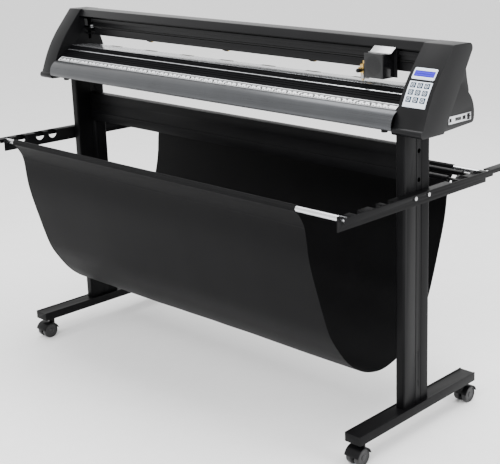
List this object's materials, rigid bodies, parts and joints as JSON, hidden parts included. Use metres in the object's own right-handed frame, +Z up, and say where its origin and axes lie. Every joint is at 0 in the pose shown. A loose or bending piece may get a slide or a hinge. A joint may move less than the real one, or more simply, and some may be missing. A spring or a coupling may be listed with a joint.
{
  "type": "large format plotter",
  "caption": "Roll-fed cutting plotter on a two-column wheeled stand, with a blade carriage on a gantry rail, sloping control panel and a cloth catch basket below",
  "frame": {"origin": "on the floor midway between the two columns and on their centre plane", "axes": "+X runs along the machine to the control end, +Y from the operator to the rear, +Z up"},
  "size_m": [1.617, 0.8, 1.088],
  "materials": {
    "black_steel": "fine textured black powder coat, semi-gloss",
    "black_aluminium": "black anodised extrusion, satin, long die lines",
    "grey_cover": "satin grey coated sheet",
    "bright_aluminium": "bright satin aluminium",
    "shell": "charcoal moulded shell, satin",
    "black_plastic": "black moulded plastic",
    "carriage_plastic": "dark carriage cover, semi-gloss",
    "zinc": "zinc plated",
    "bright_steel": "ground bright steel",
    "brass": "turned brass",
    "rubber": "black rubber",
    "wheel": "dark grey nylon caster wheel",
    "cloth": "black woven basket cloth",
    "ruler": "white printed scale strip",
    "board": "green circuit board",
    "display": "white bezel with blue-violet lit screen",
    "key_panel": "white membrane panel",
    "key": "dark blue-grey keys",
    "port_metal": "plain metal plate",
    "motor": "black motor body"
  },
  "bodies": {
    "frame": {"foot_beam_left": "black_steel", "foot_beam_right": "black_steel", "column_left": "black_steel", "column_right": "black_steel", "cross_beam": "black_aluminium", "stand_bolts": "zinc", "arm_left": "black_steel", "arm_right": "black_steel", "basket_rods": "bright_aluminium", "basket_cloth": "cloth", "machine_feet": "black_plastic", "chassis": "black_aluminium", "platen": "black_aluminium", "rear_guide": "bright_aluminium", "ruler_strip": "ruler", "front_cover": "grey_cover", "end_plates": "black_steel", "left_cap": "shell", "right_cap": "shell", "gantry_beam": "black_aluminium", "carriage_belt": "rubber", "carriage_motor": "motor", "feed_motor": "motor", "main_board": "board", "power_supply": "zinc", "display": "display", "key_panel": "key_panel", "port_plate": "port_metal"},
    "tool": {"blade_holder": "brass"},
    "clamp_knob": {"clamp_screw": "black_plastic"},
    "carriage": {"carriage_base": "black_aluminium", "carriage_cover": "carriage_plastic", "carriage_bracket": "zinc"},
    "drive_pulley": {"drive_pulley": "bright_aluminium"},
    "idler_pulley": {"idler_pulley": "bright_aluminium"},
    "feed_shaft": {"feed_shaft": "bright_steel"},
    "pinch_bar": {"pinch_bar": "black_steel"},
    "pinch_roller_left": {"pinch_roller_left": "rubber"},
    "pinch_roller_middle": {"pinch_roller_middle": "rubber"},
    "pinch_roller_right": {"pinch_roller_right": "rubber"},
    "media_roller_outer": {"media_roller_outer": "black_aluminium"},
    "media_roller_inner": {"media_roller_inner": "black_aluminium"},
    "power_switch": {"power_switch": "black_plastic"},
    "caster_fl": {"caster_hood_fl": "black_plastic"},
    "wheels_fl": {"caster_wheels_fl": "wheel"},
    "caster_fr": {"caster_hood_fr": "black_plastic"},
    "wheels_fr": {"caster_wheels_fr": "wheel"},
    "caster_rl": {"caster_hood_rl": "black_plastic"},
    "wheels_rl": {"caster_wheels_rl": "wheel"},
    "caster_rr": {"caster_hood_rr": "black_plastic"},
    "wheels_rr": {"caster_wheels_rr": "wheel"},
    "key_a1": {"key_a1": "key"},
    "key_a2": {"key_a2": "key"},
    "key_a3": {"key_a3": "key"},
    "key_b1": {"key_b1": "key"},
    "key_b2": {"key_b2": "key"},
    "key_b3": {"key_b3": "key"},
    "key_c1": {"key_c1": "key"},
    "key_c2": {"key_c2": "key"},
    "key_c3": {"key_c3": "key"}
  },
  "joints": [
    {"name": "carriage_slide", "type": "slide", "parent": "frame", "child": "carriage", "axis": [1, 0, 0], "range_m": [-1.235, 0.08]},
    {"name": "tool_drop", "type": "slide", "parent": "carriage", "child": "tool", "axis": [0, 0, 1], "range_m": [-0.0035, 0], "stiffness_N_per_m": 400, "springref_m": 0.006},
    {"name": "clamp_turn", "type": "hinge", "parent": "tool", "child": "clamp_knob", "pos_m": [0.536, -0.017, 1.005], "axis": [0, -1, 0], "range_deg": [0, 540]},
    {"name": "drive_pulley_spin", "type": "hinge", "parent": "frame", "child": "drive_pulley", "pos_m": [0.75, 0.057, 1.031], "axis": [0, 0, 1], "continuous": true},
    {"name": "idler_pulley_spin", "type": "hinge", "parent": "frame", "child": "idler_pulley", "pos_m": [-0.725, 0.057, 1.031], "axis": [0, 0, 1], "continuous": true},
    {"name": "feed_shaft_spin", "type": "hinge", "parent": "frame", "child": "feed_shaft", "pos_m": [0, 0.06, 0.9597], "axis": [1, 0, 0], "continuous": true},
    {"name": "pinch_drop", "type": "slide", "parent": "frame", "child": "pinch_bar", "axis": [0, 0, 1], "range_m": [-0.026, 0]},
    {"name": "pinch_roller_left_spin", "type": "hinge", "parent": "pinch_bar", "child": "pinch_roller_left", "pos_m": [-0.424, 0.06, 1.006], "axis": [1, 0, 0], "continuous": true},
    {"name": "pinch_roller_middle_spin", "type": "hinge", "parent": "pinch_bar", "child": "pinch_roller_middle", "pos_m": [-0.065, 0.06, 1.006], "axis": [1, 0, 0], "continuous": true},
    {"name": "pinch_roller_right_spin", "type": "hinge", "parent": "pinch_bar", "child": "pinch_roller_right", "pos_m": [0.294, 0.06, 1.006], "axis": [1, 0, 0], "continuous": true},
    {"name": "media_roller_outer_spin", "type": "hinge", "parent": "frame", "child": "media_roller_outer", "pos_m": [0, 0.257, 0.692], "axis": [1, 0, 0], "continuous": true},
    {"name": "media_roller_inner_spin", "type": "hinge", "parent": "frame", "child": "media_roller_inner", "pos_m": [0, 0.187, 0.692], "axis": [1, 0, 0], "continuous": true},
    {"name": "swivel_fl", "type": "hinge", "parent": "frame", "child": "caster_fl", "pos_m": [-0.7, -0.214, 0.05], "axis": [0, 0, 1], "continuous": true},
    {"name": "roll_fl", "type": "hinge", "parent": "caster_fl", "child": "wheels_fl", "pos_m": [-0.7, -0.232, 0.024], "axis": [1, 0, 0], "continuous": true},
    {"name": "swivel_fr", "type": "hinge", "parent": "frame", "child": "caster_fr", "pos_m": [0.7, -0.214, 0.05], "axis": [0, 0, 1], "continuous": true},
    {"name": "roll_fr", "type": "hinge", "parent": "caster_fr", "child": "wheels_fr", "pos_m": [0.7, -0.232, 0.024], "axis": [1, 0, 0], "continuous": true},
    {"name": "swivel_rl", "type": "hinge", "parent": "frame", "child": "caster_rl", "pos_m": [-0.7, 0.236, 0.05], "axis": [0, 0, 1], "continuous": true},
    {"name": "roll_rl", "type": "hinge", "parent": "caster_rl", "child": "wheels_rl", "pos_m": [-0.7, 0.254, 0.024], "axis": [1, 0, 0], "continuous": true},
    {"name": "swivel_rr", "type": "hinge", "parent": "frame", "child": "caster_rr", "pos_m": [0.7, 0.236, 0.05], "axis": [0, 0, 1], "continuous": true},
    {"name": "roll_rr", "type": "hinge", "parent": "caster_rr", "child": "wheels_rr", "pos_m": [0.7, 0.254, 0.024], "axis": [1, 0, 0], "continuous": true},
    {"name": "press_a1", "type": "slide", "parent": "frame", "child": "key_a1", "axis": [0, 0.8397, -0.5431], "range_m": [0, 0.001], "stiffness_N_per_m": 600, "springref_m": -0.001},
    {"name": "press_a2", "type": "slide", "parent": "frame", "child": "key_a2", "axis": [0, 0.8397, -0.5431], "range_m": [0, 0.001], "stiffness_N_per_m": 600, "springref_m": -0.001},
    {"name": "press_a3", "type": "slide", "parent": "frame", "child": "key_a3", "axis": [0, 0.8397, -0.5431], "range_m": [0, 0.001], "stiffness_N_per_m": 600, "springref_m": -0.001},
    {"name": "press_b1", "type": "slide", "parent": "frame", "child": "key_b1", "axis": [0, 0.8652, -0.5015], "range_m": [0, 0.001], "stiffness_N_per_m": 600, "springref_m": -0.001},
    {"name": "press_b2", "type": "slide", "parent": "frame", "child": "key_b2", "axis": [0, 0.8652, -0.5015], "range_m": [0, 0.001], "stiffness_N_per_m": 600, "springref_m": -0.001},
    {"name": "press_b3", "type": "slide", "parent": "frame", "child": "key_b3", "axis": [0, 0.8652, -0.5015], "range_m": [0, 0.001], "stiffness_N_per_m": 600, "springref_m": -0.001},
    {"name": "press_c1", "type": "slide", "parent": "frame", "child": "key_c1", "axis": [0, 0.8886, -0.4588], "range_m": [0, 0.001], "stiffness_N_per_m": 600, "springref_m": -0.001},
    {"name": "press_c2", "type": "slide", "parent": "frame", "child": "key_c2", "axis": [0, 0.8886, -0.4588], "range_m": [0, 0.001], "stiffness_N_per_m": 600, "springref_m": -0.001},
    {"name": "press_c3", "type": "slide", "parent": "frame", "child": "key_c3", "axis": [0, 0.8886, -0.4588], "range_m": [0, 0.001], "stiffness_N_per_m": 600, "springref_m": -0.001},
    {"name": "power_rocker", "type": "hinge", "parent": "frame", "child": "power_switch", "pos_m": [0.7995, 0.102, 0.896], "axis": [0, 1, 0], "range_deg": [0, 20]}
  ],
  "couplings": [
    {"joint": "drive_pulley_spin", "follows": "carriage_slide", "rad_per_m": 100},
    {"joint": "idler_pulley_spin", "follows": "carriage_slide", "rad_per_m": 100}
  ]
}
